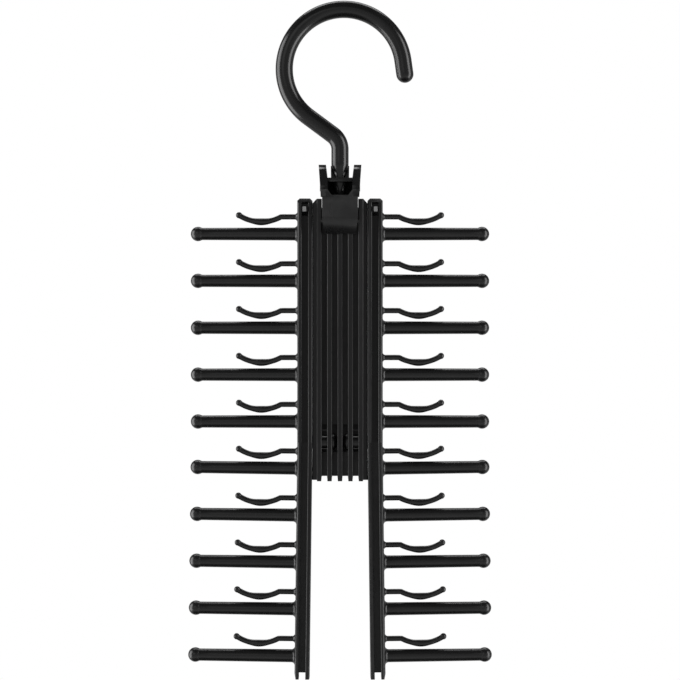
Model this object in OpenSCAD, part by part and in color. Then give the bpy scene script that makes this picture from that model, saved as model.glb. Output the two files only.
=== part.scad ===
// Folding tie hanger: a swivel hook, a ribbed spine and two rails of arms that open into an X.
// Origin at the top of the hook's inside, where it rests on a rod. Front is -Y, up is +Z.

/* [Hook] */
// Diameter of the round rod that the hook is bent from
hook_rod_d = 8.65; // [7:0.05:10]
// Clear width inside the hook's ring
hook_inner_d = 51; // [40:0.5:70]
// How far the ring's centre lies to the right of the stem
hook_shift = 1.95; // [0:0.05:5]
// Angle above the ring's level centre line at which the tip begins to run straight
tip_angle = 8; // [0:1:30]
// Straight length of the tip before its round end
tip_len = 6.8; // [2:0.1:15]
// Slope of the straight run that leads from the ring to the bend
run_slope = 36.5; // [25:0.5:45]
// Radius of the bend above the stem, on its centre line
bend_r = 9; // [6:0.5:12]
// Straight length of the stem between the bend and the swivel head
stem_len = 14; // [12:0.5:40]
// Diameter of the neck that turns in the swivel head
neck_d = 5.6; // [4:0.1:6]
// Largest diameter of the cone that snaps in under the head's plate
snap_d = 7.2; // [6.6:0.1:8]
// Diameter of the cone's blunt end
snap_tip_d = 4; // [2:0.1:5]
// Length of the cone
snap_len = 6.3; // [4:0.1:10]

/* [Swivel head] */
// Thickness of the plate that the neck turns in
plate_t = 2; // [1.5:0.1:3]
// Width over the head's two side walls
head_w = 16; // [15.5:0.1:17]
// Thickness of the side and rear walls
head_wall = 1.8; // [1.2:0.1:2.4]
// Depth of the head in front of the stem's axis
head_front = 4.5; // [4:0.1:5]
// Depth of the tongue in front of the stem's axis
tongue_front = 8.7; // [7.5:0.1:9.5]
// Height of the tongue that goes down between the spine's outer ribs
tongue_h = 12; // [9:0.1:14]
// Diameter of the pips that the latch lever tilts on
pip_d = 2.6; // [1.8:0.1:3]
// Length of each pip
pip_len = 2; // [1.4:0.1:2.2]
// Depth of the pips' centre line below the plate
pip_drop = 2.3; // [1.8:0.1:3]
// Wall in front of each pip, up to the head's front face
pip_wall = 0.2; // [0.1:0.1:0.6]

/* [Latch lever] */
// Width over the two thumb ears at their tops
ear_span = 21.4; // [20.5:0.1:23]
// Thickness of each ear at its top
ear_t = 3.7; // [3:0.1:4.2]
// Height of the ears above the head's plate
ear_h = 6.6; // [5:0.1:11]
// Depth of the thumb ramp on top of each ear
ear_d = 3.4; // [2.4:0.1:3.6]
// Depth and height of the small lip behind each thumb ramp
ear_lip = 0.9; // [0.5:0.1:1.4]
// How far the ears' tops reach behind the stem's axis
ear_lean = 0.6; // [-1:0.1:1.5]
// Height of the ears' undersides above the head's plate
ear_clear = 1.5; // [1:0.1:2.5]
// How far the ears' fronts lie behind the front plate's face at the pips
ear_set = 1.5; // [1:0.1:2]
// Angle that the lever tilts through on the pips
lever_tilt = 14; // [8:1:14]
// Thickness of the front plate and of its curved lip
lever_t = 2; // [1.4:0.1:2.4]
// Height of the flat part of the front plate
lever_h = 10.5; // [9:0.1:12]
// Outer radius of the curved lip
lip_r = 7; // [6:0.1:7.4]
// How far round the lip curves in towards the ribs
lip_sweep = 65; // [45:1:70]
// How much narrower the lip's end is than the plate
lip_taper = 2.4; // [0:0.1:4]
// How far the ears' feet stand in front of the head
ear_lead = 1.6; // [1:0.1:2]
// Size of the gussets between the ears and the front plate
gusset = 2.7; // [1:0.1:4]
// How far the ears reach outside the head's walls at their feet
ear_flank = 1.5; // [1:0.1:2]
// How far the ears' feet reach below the head's cavity
ear_drop = 0.9; // [0.4:0.1:1.5]
// Wall round each bore in the lugs behind the ears
lug_wall = 1.3; // [1:0.1:1.6]

/* [Spine] */
// Width of the spine between the two rails
spine_w = 27.3; // [26.8:0.1:32]
// Depth of the spine from front to back
spine_d = 11; // [10:0.1:14]
// Length of the spine from the tops of its outer ribs to their ends
spine_len = 140.7; // [110:0.1:180]
// Width of each rib
rib_w = 2.5; // [2:0.1:2.9]
// Distance from one rib to the next
rib_pitch = 5.2; // [5:0.05:5.6]
// Thickness of the web that joins the ribs
web_t = 1.6; // [1.2:0.1:2.4]
// Depth of the web's top below the tops of the outer ribs
web_drop = 4.2; // [3:0.1:6]
// Depth of the latch bar in front of the stem's axis
bar_front = 7.3; // [6.8:0.1:7.6]
// Thickness of the latch bar
bar_t = 1.4; // [1:0.1:2]
// How far the ribs run on below the web
rib_tail = 2.4; // [1:0.1:5]
// How far the side bands end above the ribs
band_rise = 0.6; // [0:0.1:2]
// How far the side bands lie behind the ribs' front edges
band_drop = 1.2; // [0.6:0.1:1.6]
// Height of the pivot above the ends of the ribs
pivot_up = 19.2; // [14:0.1:30]
// Height of the hub's windows above the pivot
window_up = 9; // [6:0.1:12]
// Depth of the hub's windows below the pivot
window_down = 4.7; // [4.2:0.1:8]

/* [Rails] */
// Width of each rail
rail_w = 7.55; // [6.4:0.05:10]
// Depth of each rail from front to back
rail_d = 11; // [10.4:0.1:14]
// Width of the channel along each rail's front and back
channel_w = 3.2; // [2:0.1:3.6]
// Thickness of the web between the two channels
rail_web_t = 2.4; // [1.6:0.1:4]
// Height of the solid end above each channel
rail_cap = 1.9; // [1.5:0.1:8]
// Distance from the rail's top to the wedge in each channel
wedge_drop = 4.1; // [4:0.1:12]
// Height of that wedge's ramp
wedge_h = 2.3; // [1:0.1:4]
// Radius along each rail's outer long edges
rail_round = 1.2; // [0.6:0.1:1.8]
// Height of the rails' tops above the tops of the outer ribs
rail_rise = 0.25; // [0:0.05:2]
// Angle by which the lower half of each rail spreads outward
splay = 0.7; // [0:0.1:2]
// Diameter of the axle that each rail turns on
axle_d = 6.5; // [5:0.1:7]
// Diameter of the snap head on the axle's end
axle_head_d = 7.9; // [7.6:0.1:8.4]

/* [Arms] */
// Number of arms on each rail
rows = 10; // [4:1:12]
// Distance from one arm to the next
arm_pitch = 23.44; // [21:0.01:30]
// Distance from the rail's top to the first arm
first_arm = 17.6; // [14:0.1:26]
// Distance from the last arm to the rail's lower end
last_arm = 11.2; // [9:0.1:20]
// Length of each arm from the rail to the end of its ball
arm_len = 53.3; // [40:0.1:80]
// Diameter of the arm at the rail
arm_root_d = 6.5; // [5.5:0.1:7]
// Diameter of the arm at its ball
arm_tip_d = 6.1; // [5:0.1:6.6]
// Diameter of the ball at the arm's end
arm_ball_d = 7.25; // [7:0.05:9]
// Radius of the fillet where the arm meets the rail
arm_fillet = 1.7; // [0.8:0.1:1.8]

/* [Fingers] */
// Height of the finger's root above the arm that it presses on
finger_rise = 8.57; // [8.2:0.01:9.5]
// Diameter of the finger
finger_d = 2.7; // [2:0.1:3]
// Straight length of the finger beside the rail
finger_straight = 8.2; // [5:0.1:14]
// Radius of the finger's downward curve
finger_curve_r = 20.5; // [15:0.5:26]
// Depth of the curve below the straight part
finger_dip = 2.5; // [1.5:0.1:2.8]
// Height of the finger's tip above the straight part
finger_tip_rise = 0.8; // [0:0.1:2]
// Diameter of the finger at the bottom of its curve
belly_d = 3.5; // [2.7:0.1:4]
// Diameter of the bead at the finger's tip
bead_d = 3.2; // [2.8:0.1:4]
// Width of the flare where the finger meets the rail
finger_flare = 0.9; // [0.3:0.1:1.2]

/* [Clearances] */
// Radial clearance of the neck and the axles in their bores
bore_clear = 0.06; // [0.02:0.01:0.1]
// Gap between each rail and the spine
rail_gap = 0.1; // [0.05:0.05:0.6]
// Gap between other moving faces
face_gap = 0.3; // [0.2:0.05:0.4]
// Gap between the tongue's foot and the ribs, and between each axle's head and its rib
seat_gap = 0.2; // [0.1:0.05:0.4]
// Gap between the tongue's fork and the spine's web
fork_gap = 0.1; // [0.05:0.05:0.2]
// Gap between each side of the tongue and the outer ribs
tongue_gap = 0.55; // [0.3:0.05:0.8]
// Gap between the ears' feet and the spine's top
lever_gap = 0.85; // [0.5:0.05:1.2]
// Gap between each axle's end and the middle rib
axle_gap = 0.4; // [0.2:0.1:0.8]

/* [Hidden] */
$fn = 48;
SIDES = ["left", "right"];
function two_digits(i) = i < 10 ? str("0", i) : str(i);
function row_name(side, piece, i) = str(side, "_", piece, "_", two_digits(i));

black = [0.075, 0.075, 0.08];
black_gloss = [0.05, 0.05, 0.055];
past = 1; // how far a cutting solid runs past the face that it cuts
far = 400; // longer than the whole hanger
edge = 0.3; // chamfer on long edges

// The hook's path: ring, straight run, bend and stem
joint_swell = 0.1; // how far a sphere at each joint of the rod exceeds its diameter
ring_r = (hook_inner_d + hook_rod_d) / 2;
ring_z = -sqrt(pow(hook_inner_d / 2, 2) - pow(hook_shift, 2));
run_x = hook_shift - ring_r * sin(run_slope);
run_z = ring_z - ring_r * cos(run_slope);
bend_tangent = bend_r * tan((90 - run_slope) / 2);
run_len = -run_x / cos(run_slope) - bend_tangent;
stem_top = run_z + run_x * tan(run_slope) - bend_tangent;
stem_foot = stem_top - stem_len;

// The swivel head, from its plate down to the end of its tongue
plate_top = stem_foot - face_gap;
plate_foot = plate_top - plate_t;
snap_top = plate_foot - face_gap;
cavity_foot = snap_top - snap_len - face_gap;
tongue_foot = cavity_foot - tongue_h;
rib_inner = rib_pitch * 2 - rib_w / 2;
tongue_w = 2 * (rib_inner - tongue_gap);
head_back = spine_d / 2;
pip_y = -head_front + pip_d / 2 + pip_wall;
pip_z = plate_foot - pip_drop;

// The spine, whose top stands just under the lever's ears
ear_foot = cavity_foot - ear_drop;
spine_top = ear_foot - lever_gap;
spine_foot = spine_top - spine_len;
web_top = spine_top - web_drop;
pivot_z = spine_foot + pivot_up;
axle_r = axle_d / 2;
rib_start = tongue_foot - seat_gap;
rib_gap = rib_pitch - rib_w;
band_w = spine_w / 2 - rib_inner - rib_w;
axle_end = rib_w / 2 + axle_gap;

// The lever, hung on the head's pips
ear_top = plate_top + ear_h;
lever_w = tongue_w;
lever_back = -tongue_front - face_gap;
lever_front = lever_back - lever_t;
lever_foot = cavity_foot - lever_h;
ear_back = -head_front - ear_lead;
ear_front = lever_front + ear_set;
ear_inner = head_w / 2 - head_wall;
ear_foot_x = head_w / 2 + ear_flank;

// The rails, measured from the pivot
rail_in = spine_w / 2 + rail_gap;
rail_out = rail_in + rail_w;
rail_up = spine_top + rail_rise - pivot_z;
rail_len = first_arm + (rows - 1) * arm_pitch + last_arm;
rail_down = rail_len - rail_up;
rail_lap = 0.5; // how far the lower half's top runs up inside the upper half
rail_slim = 0.02; // how much slimmer the lower half is, on each face
function row_up(i) = rail_up - first_arm - (i - 1) * arm_pitch;

// The finger's centre line: straight, then an arc of finger_curve_r up to the bead
finger_low_x = finger_straight + sqrt(pow(finger_curve_r, 2) - pow(finger_curve_r - finger_dip, 2));
arc_start = asin((finger_straight - finger_low_x) / finger_curve_r);
arc_end = acos((finger_curve_r - finger_dip - finger_tip_rise) / finger_curve_r);
belly_half = 6; // half the length over which the belly swells
FINGER_SIDES = 12;
ARC_STEPS = 10;
BEAD_ANGLES = [-35, 0, 30, 55, 75];

// A round rod bent along an arc in the XZ plane, from angle a to angle b
module rod_arc(x, z, r, a, b) {
    translate([x, 0, z])
        rotate([90, 0, 0])
        rotate([0, 0, a])
        rotate_extrude(angle = b - a)
        translate([r, 0])
        circle(d = hook_rod_d);
}

// A straight round rod from a point in the XZ plane, at an angle from +X
module rod_run(x, z, angle, len) {
    translate([x, 0, z])
        rotate([0, 90 - angle, 0])
        cylinder(d = hook_rod_d, h = len);
}

// A profile drawn in Y and Z, w wide and centred on the plane x = 0
module across(w) {
    rotate([90, 0, 90])
        linear_extrude(w, center = true)
        children();
}

// A profile drawn in X and Z, between two depths
module front_view(y0, y1) {
    translate([0, y1, 0])
        rotate([90, 0, 0])
        linear_extrude(y1 - y0)
        children();
}

// The right side as drawn, or its mirror image on the left
module on_side(side) {
    if (side == "left")
        mirror([1, 0, 0]) children();
    else
        children();
}

// The hook in one piece, from its tip to the cone that holds it in the head
module hook() {
    tip_x = hook_shift + ring_r * cos(tip_angle);
    tip_z = ring_z + ring_r * sin(tip_angle);
    bend_x = -bend_r + bend_r * cos(90 - run_slope);
    bend_z = stem_top + bend_r * sin(90 - run_slope);
    color(black_gloss) union() {
        translate([tip_x, 0, tip_z]) rotate([0, 180 - tip_angle, 0]) hook_tip();
        rod_arc(hook_shift, ring_z, ring_r, tip_angle, 270 - run_slope);
        rod_run(run_x, run_z, -run_slope, run_len);
        rod_arc(-bend_r, stem_top, bend_r, 0, 90 - run_slope);
        stem();
        for (p = [[tip_x, tip_z], [run_x, run_z], [bend_x, bend_z], [0, stem_top]])
            translate([p.x, 0, p.y])
            sphere(d = hook_rod_d + joint_swell);
    }
}
// The straight tip with its round end
module hook_tip() {
    rotate_extrude() {
        square([hook_rod_d / 2, tip_len]);
        translate([0, tip_len])
            intersection() {
                circle(d = hook_rod_d);
                square(hook_rod_d);
            }
    }
}

// The stem with its neck and snap cone, which turn about the Z axis
module stem() {
    chamfer = 0.5;
    rotate_extrude()
        polygon([
            [0, stem_top],
            [hook_rod_d / 2, stem_top],
            [hook_rod_d / 2, stem_foot + chamfer],
            [hook_rod_d / 2 - chamfer, stem_foot],
            [neck_d / 2, stem_foot],
            [neck_d / 2, snap_top],
            [snap_d / 2, snap_top],
            [snap_d / 2, snap_top - chamfer],
            [snap_tip_d / 2, snap_top - snap_len],
            [0, snap_top - snap_len],
        ]);
}

// The head that the hook turns in, with the tongue that seats in the spine
module swivel_head() {
    wall_in = head_w / 2 - head_wall;
    color(black) difference() {
        union() {
            head_block();
            tongue();
            for (side = [-1, 1])
                translate([side * head_w / 2, pip_y, pip_z])
                rotate([0, side * 90, 0])
                cylinder(d = pip_d, h = pip_len);
        }
        translate([0, 0, plate_foot - past])
            cylinder(r = neck_d / 2 + bore_clear, h = plate_t + 2 * past);
        translate([-wall_in, -tongue_front - past, cavity_foot])
            cube([2 * wall_in, tongue_front + past + head_back - head_wall, plate_foot - cavity_foot]);
    }
}

// The head's block behind the lever, rounded at its rear corners
module head_block() {
    corner_r = 2;
    h = plate_top - cavity_foot;
    d = head_front + head_back;
    translate([0, -head_front, cavity_foot]) union() {
        translate([-head_w / 2, 0, 0]) cube([head_w, d - corner_r, h]);
        translate([corner_r - head_w / 2, 0, 0]) cube([head_w - 2 * corner_r, d, h]);
        for (side = [-1, 1])
            translate([side * (head_w / 2 - corner_r), d - corner_r, 0])
            cylinder(r = corner_r, h = h);
    }
}

// The tongue, forked over the spine's web and cut back where the lip passes
module tongue() {
    lead = 1.2;
    difference() {
        across(tongue_w)
            polygon([
                [-tongue_front, cavity_foot],
                [head_back, cavity_foot],
                [head_back, tongue_foot + lead],
                [head_back - lead, tongue_foot],
                [-bar_front, tongue_foot],
                [-tongue_front, tongue_foot + tongue_front - bar_front],
            ]);
        translate([-far / 2, -web_t / 2 - fork_gap, tongue_foot - past])
            cube([far, web_t + 2 * fork_gap, web_top - tongue_foot + past]);
    }
}

// The latch lever: a thumb ear on each side of the stem, a front plate and a curved lip
module latch_lever() {
    color(black) union() {
        ears();
        gussets();
        lever_lugs();
        intersection() {
            across(lever_w) lever_profile();
            front_view(lever_front - past, 0) lever_outline();
        }
    }
}

// Both ears, tapered as seen from the front and leaning back along the stem
module ears() {
    ramp_h = 1.5;
    lip_y = ear_lean - ear_lip;
    under = plate_top + ear_clear;
    intersection() {
        across(ear_span)
            polygon([
                [lip_y - ear_d, ear_top - ear_lip - ramp_h],
                [lip_y, ear_top - ear_lip],
                [lip_y, ear_top],
                [ear_lean, ear_top],
                [ear_lean, under + ear_d * tan(lever_tilt)],
                [ear_lean - ear_d, under],
                [ear_back, plate_top - face_gap],
                [ear_back, pip_z - pip_d],
                [lever_back, cavity_foot],
                [lever_back, ear_foot],
                [lever_front, ear_foot],
                [lever_front, cavity_foot],
                [ear_front, pip_z],
            ]);
        front_view(lever_front - past, head_back)
            for (side = [0, 1])
                mirror([side, 0])
                ear_outline();
    }
}

// One ear as seen from the front
module ear_outline() {
    polygon([
        [ear_span / 2 - ear_t, ear_top],
        [ear_span / 2, ear_top],
        [ear_foot_x, ear_foot],
        [ear_inner, ear_foot],
        [ear_inner, plate_top],
    ]);
}

// The gussets in the lower corners of the opening between the ears
module gussets() {
    front_view(lever_front + edge, lever_back)
        for (side = [0, 1])
            mirror([side, 0])
            polygon([
                [ear_inner - gusset, cavity_foot - edge],
                [ear_inner - gusset, cavity_foot],
                [ear_inner, cavity_foot + gusset],
                [ear_foot_x - edge, cavity_foot + gusset],
                [ear_foot_x - edge, cavity_foot - edge],
            ]);
}

// The lugs behind the ears, bored for the head's pips
module lever_lugs() {
    inner = head_w / 2 + face_gap;
    outer = head_w / 2 + pip_len;
    lug_r = pip_d / 2 + lug_wall;
    root_y = ear_back - lug_wall / 2;
    for (side = [-1, 1])
        translate([side * (inner + outer) / 2, 0, pip_z])
        difference() {
            union() {
                translate([0, pip_y, 0])
                    rotate([0, 90, 0])
                    cylinder(r = lug_r, h = outer - inner, center = true);
                translate([(inner - outer) / 2, root_y, -lug_r])
                    cube([outer - inner, pip_y - root_y, 2 * lug_r]);
            }
            translate([0, pip_y, 0])
                rotate([0, 90, 0])
                cylinder(r = pip_d / 2 + bore_clear, h = outer - inner + 2 * past, center = true);
        }
}

// The plate and its lip as seen from the side
module lever_profile() {
    translate([lever_front, lever_foot]) square([lever_t, cavity_foot - lever_foot]);
    translate([lever_front + lip_r, lever_foot])
        intersection() {
            difference() {
                circle(r = lip_r);
                circle(r = lip_r - lever_t);
            }
            polygon([
                [0, 0],
                [-2 * lip_r, 0],
                [-2 * lip_r, -2 * lip_r],
                [-2 * lip_r * cos(lip_sweep), -2 * lip_r * sin(lip_sweep)],
            ]);
        }
}

// The plate and its lip as seen from the front
module lever_outline() {
    polygon([
        [-lever_w / 2, cavity_foot],
        [lever_w / 2, cavity_foot],
        [lever_w / 2, lever_foot],
        [(lever_w - lip_taper) / 2, lever_foot - lip_r],
        [(lip_taper - lever_w) / 2, lever_foot - lip_r],
        [-lever_w / 2, lever_foot],
    ]);
}

// One rib across its width and depth, with its long edges taken off
module rib_section(w, d) {
    polygon([
        [-w / 2, -d / 2 + edge],
        [-w / 2 + edge, -d / 2],
        [w / 2 - edge, -d / 2],
        [w / 2, -d / 2 + edge],
        [w / 2, d / 2 - edge],
        [w / 2 - edge, d / 2],
        [-w / 2 + edge, d / 2],
        [-w / 2, d / 2 - edge],
    ]);
}

// The ribbed spine with the hub that both rails turn on
module spine() {
    color(black) difference() {
        union() {
            for (k = [-2 : 2])
                translate([k * rib_pitch, 0, 0])
                spine_rib(abs(k) == 2 ? spine_top : rib_start);
            side_bands();
            spine_web();
            hub_back();
            latch_bar();
            window_bars();
        }
        for (side = [-1, 1])
            translate([side * axle_end, 0, pivot_z])
            rotate([0, side * 90, 0])
            cylinder(r = axle_r + bore_clear, h = spine_w);
    }
}

// One rib, down to its blunt tail below the web
module spine_rib(top) {
    tail_taper = 0.2;
    h = top - spine_foot;
    translate([0, 0, spine_foot]) intersection() {
        linear_extrude(h) rib_section(rib_w, spine_d);
        front_view(-spine_d, spine_d)
            polygon([
                [tail_taper - rib_w / 2, 0],
                [rib_w / 2 - tail_taper, 0],
                [rib_w / 2, rib_tail - tail_taper],
                [rib_w / 2, h],
                [-rib_w / 2, h],
                [-rib_w / 2, rib_tail - tail_taper],
            ]);
    }
}

// The bands outside the outer ribs, a little behind their front edges, with sloped tops
module side_bands() {
    slope = 2.2;
    foot = spine_foot + band_rise;
    for (side = SIDES)
        on_side(side)
        intersection() {
            translate([rib_inner + rib_w + (band_w - past) / 2, 0, foot])
                linear_extrude(spine_top - foot)
                rib_section(band_w + past, spine_d - 2 * band_drop);
            front_view(-spine_d, spine_d)
                polygon([
                    [rib_inner + rib_w / 2, foot],
                    [spine_w / 2, foot],
                    [spine_w / 2, spine_top - slope],
                    [spine_w / 2 - band_w, spine_top],
                    [rib_inner + rib_w / 2, spine_top],
                ]);
        }
}

// The web between the ribs, open at the hub's four windows
module spine_web() {
    foot = spine_foot + rib_tail;
    difference() {
        translate([-2 * rib_pitch, -web_t / 2, foot]) cube([4 * rib_pitch, web_t, web_top - foot]);
        for (k = [-1.5 : 1.5])
            translate([k * rib_pitch - rib_gap / 2, -web_t, pivot_z - window_down])
            cube([rib_gap, 2 * web_t, window_up + window_down]);
    }
}

// The wall behind the axles that closes the hub's windows at the back
module hub_back() {
    front = axle_head_d / 2 + face_gap;
    foot = pivot_z - window_down - web_t;
    translate([-2 * rib_pitch, front, foot])
        cube([4 * rib_pitch, spine_d / 2 - edge - front, window_down + window_up + 2 * web_t]);
}

// The bar on top of the middle ribs that the lever's lip reaches under
module latch_bar() {
    x = rib_inner + edge;
    front = bar_front - seat_gap;
    translate([-x, -front, rib_start - bar_t])
        cube([2 * x, front + spine_d / 2 - edge, bar_t]);
}

// The narrow bar over each axle in the two outer windows
module window_bars() {
    bar_d = 1.6;
    bar_h = 0.7;
    bar_y = -3.4;
    rise = 2.6;
    for (k = [-1.5, 1.5])
        translate([(k - 0.5) * rib_pitch, bar_y, pivot_z + axle_r + rise])
        cube([rib_pitch, bar_d, bar_h]);
}

// A quarter of a rounded corner, from one side to the next, as a few points
function corner(x, y, r, a) = [for (t = [0 : 30 : 90]) [x + r * cos(a + t), y + r * sin(a + t)]];

// A rail's section, with rounder corners on its outer side, less a slim all round
module rail_section(slim) {
    outer = rail_round;
    inner = rail_round / 2;
    y = rail_d / 2;
    polygon(concat(
        corner(rail_w - outer, y - outer, outer - slim, 0),
        corner(inner, y - inner, inner - slim, 90),
        corner(inner, inner - y, inner - slim, 180),
        corner(rail_w - outer, outer - y, outer - slim, 270)
    ));
}

// The section of a rail's front channel, flared at its mouth, plus a slim all round
module channel_section(slim) {
    x = channel_w / 2 + slim;
    floor_y = slim - rail_web_t / 2;
    polygon([
        [-x, floor_y],
        [x, floor_y],
        [x, edge - rail_d / 2],
        [x + edge + past, -rail_d / 2 - past],
        [-x - edge - past, -rail_d / 2 - past],
        [-x, edge - rail_d / 2],
    ]);
}

// Both channels between two heights, with a sloped wall at the upper end
module rail_channels(z0, z1, slim) {
    slope = 0.6;
    translate([rail_in + rail_w / 2, 0, 0])
        for (s = [0, 1])
        mirror([0, s, 0])
        intersection() {
            translate([0, 0, z0]) linear_extrude(z1 - z0) channel_section(slim);
            across(rail_w)
                polygon([
                    [-rail_d, z0],
                    [0, z0],
                    [0, z1 - slope],
                    [-rail_web_t / 2, z1 - slope],
                    [-rail_d / 2, z1],
                    [-rail_d, z1],
                ]);
        }
}

// What belongs to the lower half, turned outward about the pivot
module lower_swing() {
    translate([rail_in, 0, pivot_z])
        rotate([0, -splay, 0])
        translate([-rail_in, 0, -pivot_z])
        children();
}

// The upper half of the right rail, with its chamfered top
module rail_upper() {
    top = pivot_z + rail_up;
    chop = 1.2;
    intersection() {
        difference() {
            translate([rail_in, 0, pivot_z]) linear_extrude(rail_up) rail_section(0);
            rail_channels(pivot_z - past, top - rail_cap, 0);
        }
        front_view(-rail_d, rail_d)
            polygon([
                [rail_in - past, pivot_z - past],
                [rail_out + past, pivot_z - past],
                [rail_out + past, top - chop - past],
                [rail_out - chop, top],
                [rail_in + chop, top],
                [rail_in - past, top - chop - past],
            ]);
        across(far)
            polygon([
                [-rail_d, pivot_z - past],
                [rail_d, pivot_z - past],
                [rail_d, top - rail_d / 2 - 2 * chop],
                [rail_d / 2 - 2 * chop, top],
                [2 * chop - rail_d / 2, top],
                [-rail_d, top - rail_d / 2 - 2 * chop],
            ]);
    }
}

// The lower half of the right rail, whose flanges run on past its web. It is a hair slimmer
// than the upper half, so that its top ends inside that half.
module rail_lower() {
    foot = pivot_z - rail_down;
    top = pivot_z + rail_lap;
    leg = 3;
    inset = rail_round / 2;
    taper = leg / inset;
    lower_swing() intersection() {
        difference() {
            translate([rail_in, 0, foot]) linear_extrude(top - foot) rail_section(rail_slim);
            rail_channels(foot - past, top + rail_cap, rail_slim);
            translate([rail_in + (rail_w - channel_w) / 2 - rail_slim, -rail_d, foot - past])
                cube([channel_w + 2 * rail_slim, 2 * rail_d, leg + past]);
        }
        front_view(-rail_d, rail_d)
            polygon([
                [rail_in + edge, foot],
                [rail_out - inset, foot],
                [rail_out + past, foot + taper * (inset + past)],
                [rail_out + past, top + past],
                [rail_in - past, top + past],
                [rail_in - past, foot + 2 * (edge + past)],
            ]);
    }
}

// The small wedge near the top of each channel, with a ramp that faces up
module channel_wedges() {
    top = pivot_z + rail_up - wedge_drop;
    floor_y = edge - rail_web_t / 2;
    front_y = 2 * edge - rail_d / 2;
    for (s = [0, 1])
        mirror([0, s, 0])
        translate([rail_in + rail_w / 2, 0, 0])
        across(channel_w + 2 * edge)
        polygon([
            [floor_y, top],
            [front_y, top - wedge_h],
            [front_y, top - wedge_h - edge],
            [floor_y, top - 2 * wedge_h],
        ]);
}

// One rail, without the arms and fingers that grow from its outer face
module rail(side) {
    color(black)
        on_side(side)
        union() {
            rail_upper();
            rail_lower();
            channel_wedges();
        }
}

// The stub axle from a rail's inner face to its snap head inside the hub
module axle(side) {
    lead = 1.4;
    shoulder = rib_pitch - rib_w / 2 - seat_gap;
    color(black)
        on_side(side)
        translate([0, 0, pivot_z])
        rotate([0, 90, 0])
        rotate_extrude()
        polygon([
            [0, axle_end],
            [axle_head_d / 2 - lead, axle_end],
            [axle_head_d / 2, axle_end + lead],
            [axle_head_d / 2, shoulder],
            [axle_r, shoulder],
            [axle_r, rail_in],
            [0, rail_in],
        ]);
}

// What grows from the rail's outer face at one row, on the right side
module at_row(side, i, rise) {
    z = row_up(i) + rise;
    on_side(side)
        if (row_up(i) < 0)
            lower_swing() translate([rail_out, 0, pivot_z + z]) children();
        else
            translate([rail_out, 0, pivot_z + z]) children();
}

// A round arm that tapers to a ball, with a fillet at the rail
module arm(side, i) {
    ball_x = arm_len - arm_ball_d / 2;
    fillet = [
        for (a = [0 : 22.5 : 90])
        [arm_root_d / 2 + arm_fillet * (1 - sin(a)), arm_fillet * (1 - cos(a))]
    ];
    color(black)
        at_row(side, i, 0)
        rotate([0, 90, 0])
        union() {
            rotate_extrude()
                polygon(concat([[0, 0]], fillet, [[arm_tip_d / 2, ball_x], [0, ball_x]]));
            translate([0, 0, ball_x]) sphere(d = arm_ball_d);
        }
}

// A point on the finger's arc, at an angle from the bottom of its curve
function arc_point(a) = [
    finger_low_x + finger_curve_r * sin(a),
    finger_curve_r * (1 - cos(a)) - finger_dip
];

// The finger's radius along its arc, swelling at the belly
function arc_radius(a) =
    let (reach = min(abs(a * PI / 180 * finger_curve_r) / belly_half, 1))
    finger_d / 2 + (belly_d - finger_d) / 4 * (1 + cos(180 * reach));

// One ring of points round the finger: centre, slope and radius
function ring(p, a, r) = [
    for (j = [0 : FINGER_SIDES - 1])
    let (t = 360 * j / FINGER_SIDES, up = r * cos(t))
    [p.x - up * sin(a), r * sin(t), p.y + up * cos(a)]
];

// The finger's rings from the rail to the bead
function finger_rings() =
    let (
        r = finger_d / 2,
        bead_r = bead_d / 2,
        flare = [[0, 1], [0.3, 0.5], [0.8, 0.15], [1.4, 0]],
        neck = arc_end - bead_r * 180 / (PI * finger_curve_r),
        tip = arc_point(arc_end),
        along = [cos(arc_end), sin(arc_end)]
    )
    concat(
        [for (f = flare) ring([f[0] * finger_flare, 0], 0, r + f[1] * finger_flare)],
        [ring([finger_straight - r / 2, 0], 0, r)],
        [
            for (k = [0 : ARC_STEPS])
            let (a = arc_start + (neck - arc_start) * k / ARC_STEPS)
            ring(arc_point(a), k == 0 ? a / 2 : a, arc_radius(a))
        ],
        [
            for (b = BEAD_ANGLES)
            ring(tip + along * bead_r * sin(b), arc_end, bead_r * cos(b))
        ]
    );

// A wavy finger: straight beside the rail, down to its belly and up to a bead
module finger(side, i) {
    rings = finger_rings();
    count = len(rings);
    n = FINGER_SIDES;
    tip = arc_point(arc_end) + bead_d / 2 * [cos(arc_end), sin(arc_end)];
    points = concat([for (band = rings) each band], [[tip.x, 0, tip.y]]);
    skin = [
        for (k = [0 : count - 2], j = [0 : n - 1], half = [0, 1])
        let (a = k * n + j, b = k * n + (j + 1) % n)
        half == 0 ? [a, b, b + n] : [a, b + n, a + n]
    ];
    cap = [for (j = [0 : n - 1]) [(count - 1) * n + j, (count - 1) * n + (j + 1) % n, count * n]];
    root = [[for (j = [n - 1 : -1 : 0]) j]];
    color(black)
        at_row(side, i, finger_rise)
        polyhedron(points, concat(root, skin, cap));
}

hook();
swivel_head();
latch_lever();
spine();
for (side = SIDES) {
    rail(side);
    axle(side);
    for (i = [1 : rows]) {
        arm(side, i);
        finger(side, i);
    }
}
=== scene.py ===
"""A folding tie hanger in black moulded plastic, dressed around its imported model.

The hanger's lengths are in millimetres, as a maker would write them, and are turned into
metres where a mesh is made. The studio's are in metres. The front is -Y, up is +Z, and the
origin is the top of the hook's inside.
"""

import logging
import math
from dataclasses import dataclass, field
from enum import Enum

import bmesh
import bpy
from mathutils import Matrix, Vector


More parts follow.
